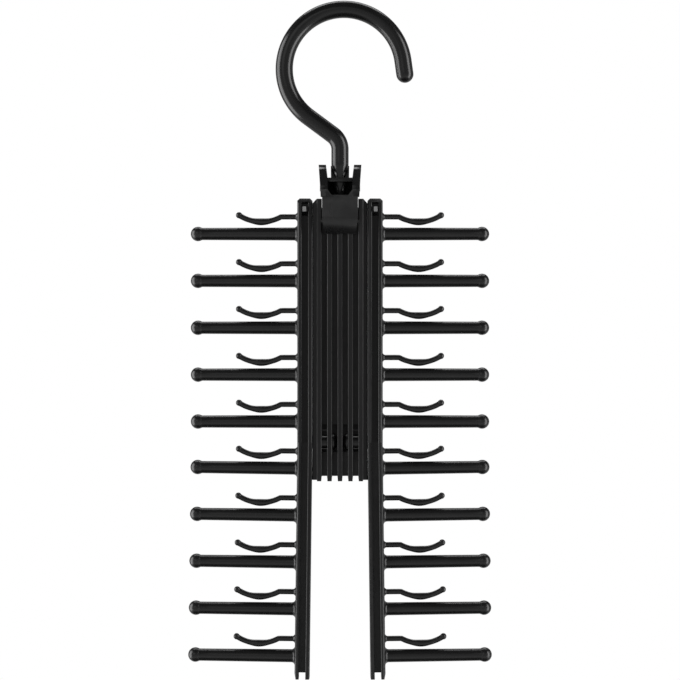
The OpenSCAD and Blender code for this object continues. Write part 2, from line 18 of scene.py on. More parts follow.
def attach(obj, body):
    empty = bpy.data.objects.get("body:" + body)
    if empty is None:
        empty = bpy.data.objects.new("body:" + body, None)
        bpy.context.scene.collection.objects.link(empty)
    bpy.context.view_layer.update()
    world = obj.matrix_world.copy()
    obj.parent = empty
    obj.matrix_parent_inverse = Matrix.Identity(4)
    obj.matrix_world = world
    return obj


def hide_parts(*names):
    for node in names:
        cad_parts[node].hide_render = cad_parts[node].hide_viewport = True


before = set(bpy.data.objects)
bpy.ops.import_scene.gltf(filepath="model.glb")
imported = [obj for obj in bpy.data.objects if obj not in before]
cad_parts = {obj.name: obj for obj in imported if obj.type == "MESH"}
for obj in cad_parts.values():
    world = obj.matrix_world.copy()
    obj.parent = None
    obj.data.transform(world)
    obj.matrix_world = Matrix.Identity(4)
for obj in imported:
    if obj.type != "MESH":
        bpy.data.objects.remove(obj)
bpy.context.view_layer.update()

LOG = logging.getLogger("tie_hanger")
MM = 0.001
OUT = Vector((1.0, 0.0, 0.0))
BACK = Vector((0.0, 1.0, 0.0))
UP = Vector((0.0, 0.0, 1.0))

# The height of the axles that the racks turn on
PIVOT_Z = -212.07
# How near a point has to be to a plane to lie on it
NEAR = 0.02
# How near two points are to be one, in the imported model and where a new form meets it
WELD = 0.002
SEAM = 0.03
# Faces that turn by less than this are one flat face
FLAT_DEGREES = 0.6

Point = tuple[float, float]
Colour = tuple[float, float, float, float]
Spot = tuple[float, float, float]
Ring = list[Vector]
Feed = bpy.types.NodeSocket | float


class Side(Enum):
    """The two sides of the hanger, as seen from the front."""

    LEFT = -1
    RIGHT = 1

    @property
    def word(self) -> str:
        """The side's name as the nodes have it."""
        return self.name.lower()


class Slot(Enum):
    """The record's material slots."""

    HOOK = "hook"
    HEAD = "head"
    LEVER = "lever"
    SPINE = "spine"
    RACK = "rack"


class Body(Enum):
    """The bodies that the pieces ride on."""

    HOOK = "hook"
    SPINE = "spine"
    LATCH = "latch"
    LEFT_RACK = "left_rack"
    RIGHT_RACK = "right_rack"


# Shader node groups


def grey(level: float) -> Colour:
    """A grey as a colour without transparency."""
    return level, level, level, 1.0


def new_group(name: str, inputs: dict[str, float | Colour], outputs: tuple[str, ...]) -> bpy.types.NodeTree:
    """Starts a shader node group with its sockets.

    Args:
        name: The group's name.
        inputs: The name and the default of each input.
        outputs: The names of the outputs. The one called Colour is a colour.

    Returns:
        The group's node tree.
    """
    tree = bpy.data.node_groups.new(name, "ShaderNodeTree")
    for title, value in inputs.items():
        kind = "NodeSocketColor" if isinstance(value, tuple) else "NodeSocketFloat"
        tree.interface.new_socket(name=title, in_out="INPUT", socket_type=kind).default_value = value
    for title in outputs:
        kind = "NodeSocketColor" if title == "Colour" else "NodeSocketFloat"
        tree.interface.new_socket(name=title, in_out="OUTPUT", socket_type=kind)
    return tree


class NodeTreeBuilder:
    """Places and links nodes in one tree."""

    def __init__(self, tree: bpy.types.NodeTree) -> None:
        """Starts on a tree."""
        self.tree = tree

    def node(self, kind: str, **values: object) -> bpy.types.Node:
        """Adds a node and sets what is given.

        Args:
            kind: The node's type name.
            **values: Properties of the node, or the defaults of inputs under in_NAME.

        Returns:
            The new node.
        """
        made = self.tree.nodes.new(kind)
        for key, value in values.items():
            if key.startswith("in_"):
                made.inputs[key[3:].replace("_", " ")].default_value = value
            else:
                setattr(made, key, value)
        return made

    def link(self, start: bpy.types.NodeSocket, end: bpy.types.NodeSocket) -> None:
        """Links an output to an input."""
        self.tree.links.new(start, end)

    def math(self, operation: str, first: Feed, second: Feed) -> bpy.types.NodeSocket:
        """Adds a math node.

        Args:
            operation: The operation's name.
            first: A socket or a number.
            second: A socket or a number.

        Returns:
            The node's output.
        """
        made = self.node("ShaderNodeMath", operation=operation)
        for place, value in enumerate((first, second)):
            if isinstance(value, (int, float)):
                made.inputs[place].default_value = value
            else:
                self.link(value, made.inputs[place])
        return made.outputs[0]

    def noise(self, where: Feed, size: Feed, **values: float) -> bpy.types.NodeSocket:
        """Adds a noise texture.

        Args:
            where: The socket that says where on the piece a point is.
            size: The socket that says how fine the noise is.
            **values: The defaults of other inputs under in_NAME.

        Returns:
            The noise's value.
        """
        made = self.node("ShaderNodeTexNoise", **values)
        self.link(where, made.inputs["Vector"])
        self.link(size, made.inputs["Scale"])
        return made.outputs["Fac"]

    def mix(self, share: Feed, first: Feed, second: Feed) -> bpy.types.NodeSocket:
        """Adds a node that mixes two colours.

        Args:
            share: The socket that says how much of the second shows.
            first: The first colour's socket.
            second: The second colour's socket.

        Returns:
            The mixed colour.
        """
        made = self.node("ShaderNodeMix", data_type="RGBA")
        for title, value in (("Factor", share), ("A", first), ("B", second)):
            self.link(value, made.inputs[title])
        return made.outputs["Result"]


@dataclass(frozen=True)
class MouldedSkin:
    """A group for the skin of a moulded part: fine grain, slow flow marks and a faint mottle."""

    name: str = "moulded_skin"
    upright_stretch: float = 0.35
    noise_middle: float = 0.5

    def tree(self) -> bpy.types.NodeTree:
        """Builds the group once, and finds it after that.

        Returns:
            The group's node tree.
        """
        if self.name in bpy.data.node_groups:
            return bpy.data.node_groups[self.name]
        inputs = {
            "Grain Size": 2500.0,
            "Grain Depth": 0.1,
            "Flow Size": 60.0,
            "Flow Depth": 0.1,
            "Roughness": 0.3,
            "Roughness Spread": 0.06,
            "Colour": grey(0.02),
            "Worn Colour": grey(0.03),
        }
        tree = new_group(self.name, inputs, ("Colour", "Roughness", "Height"))
        make = NodeTreeBuilder(tree)
        given = make.node("NodeGroupInput").outputs
        result = make.node("NodeGroupOutput").inputs
        where = make.node("ShaderNodeTexCoord").outputs["Object"]
        stretch = make.node("ShaderNodeMapping", in_Scale=(1.0, 1.0, self.upright_stretch))
        make.link(where, stretch.inputs["Vector"])
        grain = make.noise(where, given["Grain Size"], in_Detail=2.0, in_Roughness=0.6)
        drawn = stretch.outputs["Vector"]
        flow = make.noise(drawn, given["Flow Size"], in_Detail=3.0, in_Roughness=0.5, in_Distortion=0.6)
        fine = make.math("MULTIPLY", grain, given["Grain Depth"])
        slow = make.math("MULTIPLY", flow, given["Flow Depth"])
        make.link(make.math("ADD", fine, slow), result["Height"])
        swing = make.math("SUBTRACT", flow, self.noise_middle)
        spread = make.math("MULTIPLY", swing, given["Roughness Spread"])
        make.link(make.math("ADD", given["Roughness"], spread), result["Roughness"])
        make.link(make.mix(flow, given["Colour"], given["Worn Colour"]), result["Colour"])
        return tree


@dataclass(frozen=True)
class RubbedEdgesAndPaintedHighlight:
    """A group that brightens what stands proud: wear where hands and hooks rub it, and a painted highlight
    along the edges.
    """

    name: str = "handled_edges"
    proud_from: float = 0.52
    proud_to: float = 0.62

    def tree(self) -> bpy.types.NodeTree:
        """Builds the group once, and finds it after that.

        Returns:
            The group's node tree.
        """
        if self.name in bpy.data.node_groups:
            return bpy.data.node_groups[self.name]
        inputs = {"Colour": grey(0.02), "Rubbed Colour": grey(0.05), "Amount": 0.2, "Patch Size": 300.0}
        tree = new_group(self.name, inputs, ("Colour", "Mask"))
        make = NodeTreeBuilder(tree)
        given = make.node("NodeGroupInput").outputs
        result = make.node("NodeGroupOutput").inputs
        where = make.node("ShaderNodeTexCoord").outputs["Object"]
        shape = make.node("ShaderNodeNewGeometry")
        # Pointiness picks the edges that stand proud; they are lightened as rubbed wear and as a painted
        # edge highlight
        proud = make.node("ShaderNodeMapRange", in_From_Min=self.proud_from, in_From_Max=self.proud_to)
        make.link(shape.outputs["Pointiness"], proud.inputs["Value"])
        patch = make.noise(where, given["Patch Size"], in_Detail=4.0)
        broken = make.math("MULTIPLY", proud.outputs["Result"], patch)
        mask = make.math("MULTIPLY", broken, given["Amount"])
        make.link(mask, result["Mask"])
        make.link(make.mix(mask, given["Colour"], given["Rubbed Colour"]), result["Colour"])
        return tree


@dataclass(frozen=True)
class PlasticFinish:
    """A black moulded plastic: how dark, how glossy, and how its skin looks up close."""

    name: str
    colour: float = 0.002
    colour_blue: float = 1.06
    worn_colour: float = 0.0035
    worn_blue: float = 1.04
    roughness: float = 0.3
    roughness_spread: float = 0.08
    grain_size: float = 2600.0
    grain_depth: float = 0.12
    flow_size: float = 70.0
    flow_depth: float = 0.5
    relief: float = 0.004
    # How much the pointy edges are lightened, as rubbed wear and as a painted edge highlight
    wear_and_edge_highlight: float = 0.25
    ior: float = 1.5

    def material(self) -> bpy.types.Material:
        """Builds the material, or finds it.

        Returns:
            The material.
        """
        if self.name in bpy.data.materials:
            return bpy.data.materials[self.name]
        made = bpy.data.materials.new(self.name)
        made.use_nodes = True
        made.diffuse_color = grey(self.colour)
        shader = made.node_tree.nodes["Principled BSDF"]
        shader.inputs["IOR"].default_value = self.ior
        make = NodeTreeBuilder(made.node_tree)
        skin = make.node(
            "ShaderNodeGroup",
            node_tree=MouldedSkin().tree(),
            in_Grain_Size=self.grain_size,
            in_Grain_Depth=self.grain_depth,
            in_Flow_Size=self.flow_size,
            in_Flow_Depth=self.flow_depth,
            in_Roughness=self.roughness,
            in_Roughness_Spread=self.roughness_spread,
            in_Colour=(self.colour, self.colour, self.colour * self.colour_blue, 1.0),
            in_Worn_Colour=(self.worn_colour, self.worn_colour, self.worn_colour * self.worn_blue, 1.0),
        )
        # Lightens the pointy edges: rubbed wear and a painted edge highlight
        edge_wear_and_highlight = make.node("ShaderNodeGroup", node_tree=RubbedEdgesAndPaintedHighlight().tree(), in_Amount=self.wear_and_edge_highlight)
        make.link(skin.outputs["Colour"], edge_wear_and_highlight.inputs["Colour"])
        bump = make.node("ShaderNodeBump", in_Strength=1.0, in_Distance=self.relief * MM)
        make.link(skin.outputs["Height"], bump.inputs["Height"])
        make.link(edge_wear_and_highlight.outputs["Colour"], shader.inputs["Base Color"])
        make.link(skin.outputs["Roughness"], shader.inputs["Roughness"])
        make.link(bump.outputs["Normal"], shader.inputs["Normal"])
        return made


HOOK_GLOSS = PlasticFinish("hook_gloss", roughness=0.22, flow_depth=0.8, wear_and_edge_highlight=0.3, ior=1.46)
HEAD_SATIN = PlasticFinish("head_satin", roughness=0.34, wear_and_edge_highlight=0.2)
LEVER_SATIN = PlasticFinish("lever_satin", roughness=0.28, wear_and_edge_highlight=0.3)
SPINE_SATIN = PlasticFinish("spine_satin", roughness=0.34, wear_and_edge_highlight=0.25, ior=1.4)
RACK_GLOSS = PlasticFinish("rack_gloss", roughness=0.28, flow_depth=0.6, wear_and_edge_highlight=0.3)
# The rails' copy of rack_gloss with less reflection: painted shade that makes the rails' faces and channels
# darker than the arms of the same moulding
RAIL_GLOSS_PAINTED_SHADE = PlasticFinish("rail_gloss_painted_shade", roughness=0.28, flow_depth=0.6, wear_and_edge_highlight=0.3, ior=1.37)


# Mesh helpers


def blend(ends: Point, share: float) -> float:
    """The value that lies at a share of the way between two ends."""
    return ends[0] + (ends[1] - ends[0]) * share


def near(metres: float, millimetres: float) -> bool:
    """Whether a mesh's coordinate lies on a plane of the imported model."""
    return abs(metres - millimetres * MM) < NEAR * MM


def polar(centre: Point, radius: float, degrees: float) -> Point:
    """A point at an angle from +X round a centre.

    Args:
        centre: The centre.
        radius: The distance from it.
        degrees: The angle.

    Returns:
        The point.
    """
    angle = math.radians(degrees)
    return centre[0] + radius * math.cos(angle), centre[1] + radius * math.sin(angle)


def ring_at(point: Vector, along: Vector, across: Vector, radius: float, count: int) -> Ring:
    """A round ring of points about a point on a path.

    Args:
        point: The ring's centre.
        along: The path's direction there.
        across: A direction square to the path.
        radius: The ring's radius.
        count: How many points it has.

    Returns:
        The ring's points.
    """
    third = along.cross(across)
    return [
        point + radius * (math.cos(turn) * across + math.sin(turn) * third)
        for turn in (2 * math.pi * place / count for place in range(count))
    ]


def in_metres(x: float, y: float, z: float) -> Spot:
    """A point of the hanger as a mesh has it."""
    return x * MM, y * MM, z * MM


def add_skin(mesh: bmesh.types.BMesh, rings: list[list[Vector | Spot]], open_start: bool = False) -> None:
    """Skins a row of rings in a mesh and closes its ends.

    Args:
        mesh: The mesh that the skin is added to.
        rings: Rings of as many points each, in metres.
        open_start: True to leave the first ring open.
    """
    rows = [[mesh.verts.new(point) for point in ring] for ring in rings]
    count = len(rings[0])
    for first, second in zip(rows, rows[1:]):
        for place in range(count):
            after = (place + 1) % count
            mesh.faces.new((first[place], first[after], second[after], second[place]))
    if not open_start:
        mesh.faces.new(list(reversed(rows[0])))
    mesh.faces.new(rows[-1])


def loft(rings: list[Ring]) -> bmesh.types.BMesh:
    """Makes a closed mesh of its own from a row of rings.

    Args:
        rings: Rings of as many points each, in millimetres.

    Returns:
        The mesh, in metres.
    """
    mesh = bmesh.new()
    add_skin(mesh, [[point * MM for point in ring] for ring in rings])
    bmesh.ops.recalc_face_normals(mesh, faces=mesh.faces)
    return mesh


def make_whole(mesh: bmesh.types.BMesh, weld: float) -> None:
    """Joins the points that meet, makes flat faces whole and turns all faces outward.

    Args:
        mesh: The mesh.
        weld: How near two points are to be one.
    """
    bmesh.ops.remove_doubles(mesh, verts=mesh.verts, dist=weld * MM)
    flat = math.radians(FLAT_DEGREES)
    bmesh.ops.dissolve_limit(mesh, angle_limit=flat, verts=mesh.verts, edges=mesh.edges)
    bmesh.ops.recalc_face_normals(mesh, faces=mesh.faces)


def moulded_copy(node: str) -> bmesh.types.BMesh:
    """A copy of a node's mesh, with its flat faces whole again.

    Args:
        node: The node's name.

    Returns:
        The copy, in metres.
    """
    mesh = bmesh.new()
    mesh.from_mesh(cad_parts[node].data)
    make_whole(mesh, WELD)
    # Written out and read back, so that the points of a later cut come after all the others
    data = bpy.data.meshes.new(node + "_moulding")
    mesh.to_mesh(data)
    mesh.clear()
    mesh.from_mesh(data)
    bpy.data.meshes.remove(data)
    return mesh


def cut_level(mesh: bmesh.types.BMesh, height: float, drop_below: bool = False) -> None:
    """Cuts a mesh level, so that what lies below can be changed.

    Args:
        mesh: The mesh.
        height: The cut's height, in millimetres.
        drop_below: True to take away what lies below the cut.
    """
    whole = list(mesh.verts) + list(mesh.edges) + list(mesh.faces)
    place = Vector((0.0, 0.0, height * MM))
    bmesh.ops.bisect_plane(mesh, geom=whole, dist=1e-6, plane_co=place, plane_no=UP, clear_inner=drop_below)


@dataclass
class Piece:
    """One visible piece: its name, where it belongs, its finish and the nodes it stands for."""

    name: str
    body: Body
    slot: Slot
    finish: PlasticFinish
    replaced: list[str] = field(default_factory=list)
    sharp_degrees: float = 32.0
    bevel_segments: int = 3

    def show(self, mesh: bmesh.types.BMesh, edge: float = 0.0) -> None:
        """Makes the piece's object, sets it on its body and hides the nodes it stands for.

        Args:
            mesh: The mesh that was built, in metres. It is freed.
            edge: The radius taken off its sharp edges.
        """
        data = bpy.data.meshes.new(self.name)
        mesh.to_mesh(data)
        mesh.free()
        made = bpy.data.objects.new(self.name, data)
        bpy.context.scene.collection.objects.link(made)
        data.materials.append(self.finish.material())
        data.shade_smooth()
        if edge:
            bevel = made.modifiers.new("edge_radius", "BEVEL")
            bevel.width = edge * MM
            bevel.segments = self.bevel_segments
            bevel.limit_method = "ANGLE"
            bevel.angle_limit = math.radians(self.sharp_degrees)
            bevel.harden_normals = True
        else:
            data.set_sharp_from_angle(angle=math.radians(self.sharp_degrees))
        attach(made, self.body.value)
        if self.replaced:
            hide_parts(*self.replaced)
        LOG.info("%s: %d faces on %s", self.name, len(data.polygons), self.body.value)


# The sub-assemblies


@dataclass
class Hook:
    """The bent rod, from its round tip to the snap cone in the swivel head."""

    rod: float = 8.65
    clear: float = 51.0
    shift: float = 1.95
    tip_angle: float = 8.0
    tip_len: float = 6.8
    slope: float = 36.5
    bend: float = 9.0
    stem: float = 14.0
    neck: float = 5.6
    # The taper's length, and how far down its soft start lies and how much thinner the stem is there
    taper: float = 6.4
    taper_start: tuple[Point, ...] = ((0.5, 0.05), (1.0, 0.18))
    neck_fillet: Point = (0.5, 0.1)
    snap: float = 7.2
    snap_tip: float = 4.0
    snap_len: float = 6.3
    snap_edge: float = 0.15
    snap_land: float = 0.5
    snap_round: float = 0.2
    snap_bulge: float = 0.05
    plate: float = 2.0
    gap: float = 0.3
    # How many rings or degrees apart the rings stand, and how small a closed end is
    sides: int = 64
    tip_step: int = 9
    tip_rings: int = 4
    bow_rings: int = 110
    slope_rings: int = 6
    bend_rings: int = 16
    stem_rings: int = 5
    pole: float = 0.05

    def tip_path(self, centre: Point, bow: float) -> list[tuple[Point, float, float]]:
        """The round tip and the straight stretch above it.

        Args:
            centre: The bow's centre.
            bow: The radius of the bow's middle line.

        Returns:
            For each station its X and Z, the direction in degrees and the radius.
        """
        half = self.rod / 2
        tip = polar(centre, bow, self.tip_angle)
        stations = []
        for turn in map(math.radians, range(0, 90, self.tip_step)):
            place = polar(tip, self.tip_len + half * math.cos(turn), self.tip_angle - 90)
            stations.append((place, self.tip_angle + 90, max(half * math.sin(turn), self.pole)))
        for step in range(self.tip_rings):
            place = polar(tip, self.tip_len * (1 - step / self.tip_rings), self.tip_angle - 90)
            stations.append((place, self.tip_angle + 90, half))
        return stations

    def snap_path(self, foot: float) -> list[tuple[Point, float, float]]:
        """The stem's taper, the neck and the snap cone.

        Args:
            foot: The height at which the stem ends and the neck starts.

        Returns:
            For each station its X and Z, the direction in degrees and the radius.
        """
        half, neck = self.rod / 2, self.neck / 2
        top = foot - self.plate - 2 * self.gap
        end = top - self.snap_len
        profile = [(foot + self.taper - down, half - thinner) for down, thinner in self.taper_start]
        profile += [
            (foot + self.neck_fillet[0], neck + self.neck_fillet[1]),
            (foot, neck),
            (top, neck),
            (top, self.snap / 2 - self.snap_edge),
            (top - self.snap_edge, self.snap / 2),
            (top - self.snap_land, self.snap / 2),
            (end + self.snap_round, self.snap_tip / 2 + self.snap_bulge),
            (end, self.snap_tip / 2 - self.snap_round),
            (end, self.snap_round),
        ]
        return [((0.0, z), -90.0, radius) for z, radius in profile]

    def path(self) -> list[tuple[Point, float, float]]:
        """The rod's middle line.

        Returns:
            For each station its X and Z, the direction in degrees and the radius.
        """
        half = self.rod / 2
        bow = (self.clear + self.rod) / 2
        centre = (self.shift, -math.sqrt((self.clear / 2) ** 2 - self.shift**2))
        stations = self.tip_path(centre, bow)
        last = 270 - self.slope
        for step in range(self.bow_rings + 1):
            angle = self.tip_angle + (last - self.tip_angle) * step / self.bow_rings
            stations.append((polar(centre, bow, angle), angle + 90, half))
        run = polar(centre, bow, last)
        tangent = self.bend * math.tan(math.radians((90 - self.slope) / 2))
        length = -run[0] / math.cos(math.radians(self.slope)) - tangent
        for step in range(1, self.slope_rings):
            stations.append((polar(run, length * step / self.slope_rings, -self.slope), -self.slope, half))
        stem_top = run[1] + run[0] * math.tan(math.radians(self.slope)) - tangent
        for step in range(self.bend_rings + 1):
            angle = (90 - self.slope) * (1 - step / self.bend_rings)
            stations.append((polar((-self.bend, stem_top), self.bend, angle), angle - 90, half))
        straight = self.stem - self.taper
        for step in range(1, self.stem_rings + 1):
            stations.append(((0.0, stem_top - straight * step / self.stem_rings), -90.0, half))
        return stations + self.snap_path(stem_top - self.stem)

    def build(self) -> None:
        """Builds and dresses the hook."""
        rings = []
        for (x, z), degrees, radius in self.path():
            angle = math.radians(degrees)
            along = Vector((math.cos(angle), 0.0, math.sin(angle)))
            rings.append(ring_at(Vector((x, 0.0, z)), along, BACK, radius, self.sides))
        Piece("hook_rod", Body.HOOK, Slot.HOOK, HOOK_GLOSS, ["hook"]).show(loft(rings))


@dataclass
class SwivelHead:
    """The head that the hook turns in: a plate, an open window and a half collar round the stem."""

    edge: float = 0.25
    plate_top: float = -79.92
    plate: float = 2.0
    plate_front: float = -4.5
    plate_lean: float = 0.95
    cavity_half: float = 6.2
    cavity_foot: float = -88.82
    cavity_back: float = 3.7
    # The rounded wall behind the cone: its radius, how far it stands off and how deep it sinks in
    bowl_radius: float = 6.5
    bowl_gap: float = 0.02
    bowl_sink: float = 0.2
    bowl_lap: float = 0.1
    # The collar: its top, its outside, and its bore and its ends' Y at the foot and at the top
    collar_top: float = -73.8
    collar_r: float = 4.6
    collar_bore: Point = (3.2, 4.45)
    collar_cut: Point = (-2.3, 0.3)
    collar_rows: int = 5
    arc_steps: int = 18

    def bowl(self) -> list[list[Spot]]:
        """The rounded wall behind the snap cone.

        Returns:
            The rings, from the cavity's foot up, in metres.
        """
        middle = self.cavity_back - self.bowl_gap - self.bowl_radius
        outline = []
        for step in range(self.arc_steps + 1):
            x = self.cavity_half * (2 * step / self.arc_steps - 1)
            outline.append((x, middle + math.sqrt(self.bowl_radius**2 - x**2)))
        back = self.cavity_back + self.bowl_sink
        outline += [(self.cavity_half, back), (-self.cavity_half, back)]
        ends = self.cavity_foot - self.bowl_lap, self.plate_top - self.plate + self.bowl_lap
        return [[in_metres(x, y, z) for x, y in outline] for z in ends]

    def moulding(self) -> bmesh.types.BMesh:
        """The head, with its plate's front leaning back and the wall behind the cone.

        Returns:
            The mesh.
        """
        mesh = moulded_copy("swivel_head")
        cut_level(mesh, self.plate_top - self.plate)
        for point in mesh.verts:
            if near(point.co.y, self.plate_front) and near(point.co.z, self.plate_top):
                point.co.y += self.plate_lean * MM
        add_skin(mesh, self.bowl())
        bmesh.ops.recalc_face_normals(mesh, faces=mesh.faces)
        return mesh

    def arc(self, radius: float, cut: float) -> list[Point]:
        """An arc behind the stem, with both ends at the same Y.

        Args:
            radius: The arc's radius.
            cut: Its ends' Y.

        Returns:
            Its points, from the right.
        """
        start = math.degrees(math.asin(cut / radius))
        sweep = 180 - 2 * start
        steps = self.arc_steps
        return [polar((0.0, 0.0), radius, start + sweep * step / steps) for step in range(steps + 1)]

    def collar(self) -> list[Ring]:
        """The half collar that stands behind the stem's taper, with a tapering bore.

        Returns:
            The rings, from the plate up.
        """
        rings = []
        for row in range(self.collar_rows + 1):
            share = row / self.collar_rows
            z = blend((self.plate_top, self.collar_top), share)
            bore, cut = blend(self.collar_bore, share), blend(self.collar_cut, share)
            outline = self.arc(self.collar_r, cut) + self.arc(bore, cut)[::-1]
            rings.append([Vector((x, y, z)) for x, y in outline])
        return rings

    def build(self) -> None:
        """Builds and dresses the head and its collar."""
        head = Piece("swivel_head_moulding", Body.SPINE, Slot.HEAD, HEAD_SATIN, ["swivel_head"])
        head.show(self.moulding(), self.edge)
        Piece("swivel_head_collar", Body.SPINE, Slot.HEAD, HEAD_SATIN).show(loft(self.collar()))


@dataclass
class LatchLever:
    """The lever, whose lip curves in until it almost meets the ribs."""

    edge: float = 0.22
    sharp_degrees: float = 20.0
    front: float = -11.0
    thick: float = 2.0
    # The plate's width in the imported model, and here below its window
    width: float = 17.2
    wide: float = 17.85
    window_foot: float = -88.82
    window_drop: float = 1.1
    cut: float = -92.0
    foot: float = -99.32
    # The lip: its radius and sweep, the Y it ends at, and how much it thins and narrows on its way
    lip_r: float = 10.5
    lip_sweep: float = 52.0
    lip_end: float = -5.7
    lip_thin: float = 1.1
    lip_taper: float = 2.4
    lip_rows: int = 16

    def lip(self) -> list[tuple[Point, Point]]:
        """The lip seen from the side: a round stretch, then a straight one up to the ribs.

        Returns:
            For each station its outer and its inner point, as Y and Z.
        """
        centre = self.front + self.lip_r, self.foot
        stations = []
        for row in range(self.lip_rows + 1):
            share = row / self.lip_rows
            inner = self.lip_r - (self.thick - self.lip_thin * share**2)
            degrees = 180 + self.lip_sweep * share
            stations.append((polar(centre, self.lip_r, degrees), polar(centre, inner, degrees)))
        (y, z), (y_in, z_in) = stations[-1]
        run = self.lip_end - y_in
        fall = run / math.tan(math.radians(self.lip_sweep))
        stations.append(((y + run, z - fall), (y_in + run, z_in - fall)))
        return stations

    def shape_plate(self, mesh: bmesh.types.BMesh) -> None:
        """Widens the plate below its window and lowers the window's foot.

        Args:
            mesh: The lever's mesh.
        """
        for point in mesh.verts:
            at_edge = near(abs(point.co.x), self.width / 2)
            if at_edge and point.co.z < (self.window_foot + NEAR) * MM:
                point.co.x = math.copysign(self.wide / 2 * MM, point.co.x)
            elif near(point.co.z, self.window_foot) and not at_edge:
                point.co.z -= self.window_drop * MM

    def moulding(self) -> bmesh.types.BMesh:
        """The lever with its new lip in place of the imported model's.

        Returns:
            The mesh.
        """
        mesh = moulded_copy("latch_lever")
        cut_level(mesh, self.cut, drop_below=True)
        self.shape_plate(mesh)
        rings = []
        plate = (self.front, self.cut), (self.front + self.thick, self.cut)
        for (y, z), (y_in, z_in) in [plate, *self.lip()]:
            half = (self.wide - self.lip_taper * max(self.foot - z, 0.0) / self.lip_r) / 2
            corners = (-half, y, z), (half, y, z), (half, y_in, z_in), (-half, y_in, z_in)
            rings.append([in_metres(*corner) for corner in corners])
        add_skin(mesh, rings, open_start=True)
        make_whole(mesh, SEAM)
        return mesh

    def build(self) -> None:
        """Builds and dresses the lever."""
        name, node = "latch_lever_moulding", "latch_lever"
        lever = Piece(name, Body.LATCH, Slot.LEVER, LEVER_SATIN, [node], self.sharp_degrees)
        lever.show(self.moulding(), self.edge)


@dataclass
class RibbedSpine:
    """The spine, whose side bands follow the rails outward below the pivot."""

    edge: float = 0.08
    half: float = 13.65
    band_flare: float = 0.8

    def moulding(self) -> bmesh.types.BMesh:
        """The spine with its flared bands.

        Returns:
            The mesh.
        """
        mesh = moulded_copy("spine")
        cut_level(mesh, PIVOT_Z)
        flare = math.tan(math.radians(self.band_flare))
        for point in mesh.verts:
            down = PIVOT_Z * MM - point.co.z
            if down > 0 and near(abs(point.co.x), self.half):
                point.co.x += math.copysign(down * flare, point.co.x)
        return mesh

    def build(self) -> None:
        """Builds and dresses the spine."""
        spine = Piece("spine_moulding", Body.SPINE, Slot.SPINE, SPINE_SATIN, ["spine"])
        spine.show(self.moulding(), self.edge)


